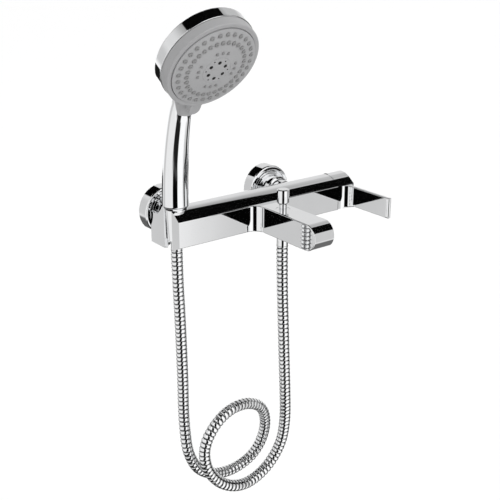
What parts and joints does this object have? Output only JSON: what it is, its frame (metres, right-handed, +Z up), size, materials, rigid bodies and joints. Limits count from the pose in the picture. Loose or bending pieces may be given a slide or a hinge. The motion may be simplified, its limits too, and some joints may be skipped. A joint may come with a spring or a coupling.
{
  "type": "bath shower mixer",
  "caption": "Wall-mounted bath and shower mixer bar with a side lever, a flat spout with a pull-up diverter, and a hand shower on a ribbed hose, parked in the bar's end.",
  "frame": {"origin": "on the wall plane, midway between the two inlet axes, at their height", "axes": "+X along the bar towards the lever, +Y into the wall, +Z up"},
  "size_m": [0.3015, 0.1975, 0.5856],
  "materials": {
    "chrome": "polished chrome plate",
    "plated_plastic": "chrome plate on moulded plastic",
    "brass": "machined brass",
    "rubber": "moulded rubber",
    "steel": "machined steel",
    "white_plastic": "moulded plastic",
    "ceramic": "lapped ceramic",
    "grey_plastic": "satin grey plastic",
    "grey_rubber": "soft grey rubber",
    "steel_hose": "polished spiral steel cover",
    "insert_plastic": "moulded plastic"
  },
  "bodies": {
    "mixer": {"mixer_body": "chrome", "left_rosette": "chrome", "right_rosette": "chrome", "left_wall_union": "brass", "right_wall_union": "brass", "left_union_nut": "chrome", "right_union_nut": "chrome", "left_inlet_washer": "rubber", "right_inlet_washer": "rubber", "cartridge_housing": "white_plastic", "cartridge_seals": "rubber", "fixed_disc": "ceramic", "retaining_nut": "brass", "cartridge_cover": "chrome", "diverter_bush": "chrome", "aerator_housing": "chrome", "aerator_insert": "insert_plastic", "outlet_nipple": "brass", "outlet_washer": "rubber", "hose_nut": "chrome", "outlet_ferrule": "chrome", "shower_hose": "steel_hose"},
    "temperature_guide": {"stem_guide": "white_plastic", "pivot_pin": "steel"},
    "mixing_disc": {"moving_disc": "ceramic", "disc_carrier": "white_plastic"},
    "lever_unit": {"lever": "chrome", "lever_stem": "steel", "grub_screw": "steel", "screw_plug": "chrome"},
    "diverter": {"diverter_knob": "chrome", "diverter_valve": "brass", "diverter_seal": "rubber"},
    "hose_end": {"cone_nut": "chrome", "handset_ferrule": "chrome", "handset_washer": "rubber"},
    "handset": {"handset_shell": "plated_plastic", "flow_limiter": "insert_plastic", "neck_insert": "grey_plastic", "head_seal": "rubber", "nozzle_mat": "grey_rubber", "spray_plate": "grey_plastic", "face_screw": "steel", "spray_core": "grey_plastic"},
    "selector": {"selector_ring": "grey_plastic", "selector_rotor": "white_plastic"}
  },
  "joints": [
    {"name": "temperature", "type": "hinge", "parent": "mixer", "child": "temperature_guide", "pos_m": [0.1189, -0.053, -0.0081], "axis": [1, 0, 0], "range_deg": [-45, 45]},
    {"name": "flow", "type": "hinge", "parent": "temperature_guide", "child": "lever_unit", "pos_m": [0.1189, -0.053, -0.0081], "axis": [0, 0, 1], "range_deg": [0, 18]},
    {"name": "disc_shift", "type": "slide", "parent": "temperature_guide", "child": "mixing_disc", "axis": [0, -1, 0], "range_m": [0, 0.0024]},
    {"name": "diverter_lift", "type": "slide", "parent": "mixer", "child": "diverter", "axis": [0, 0, 1], "range_m": [0, 0.007]},
    {"name": "handset_lift", "type": "slide", "parent": "mixer", "child": "hose_end", "axis": [0, 0, 1], "range_m": [0, 0.06], "deforming": ["shower_hose"]},
    {"name": "handset_swivel", "type": "hinge", "parent": "hose_end", "child": "handset", "pos_m": [-0.0875, -0.053, 0.018], "axis": [0, 0, 1], "range_deg": [-40, 40]},
    {"name": "spray_select", "type": "hinge", "parent": "handset", "child": "selector", "pos_m": [-0.0875, -0.1305, 0.1805], "axis": [0, -0.8358, -0.549], "range_deg": [-30, 30]}
  ],
  "couplings": [
    {"joint": "disc_shift", "follows": "flow", "m_per_rad": 0.0076}
  ]
}
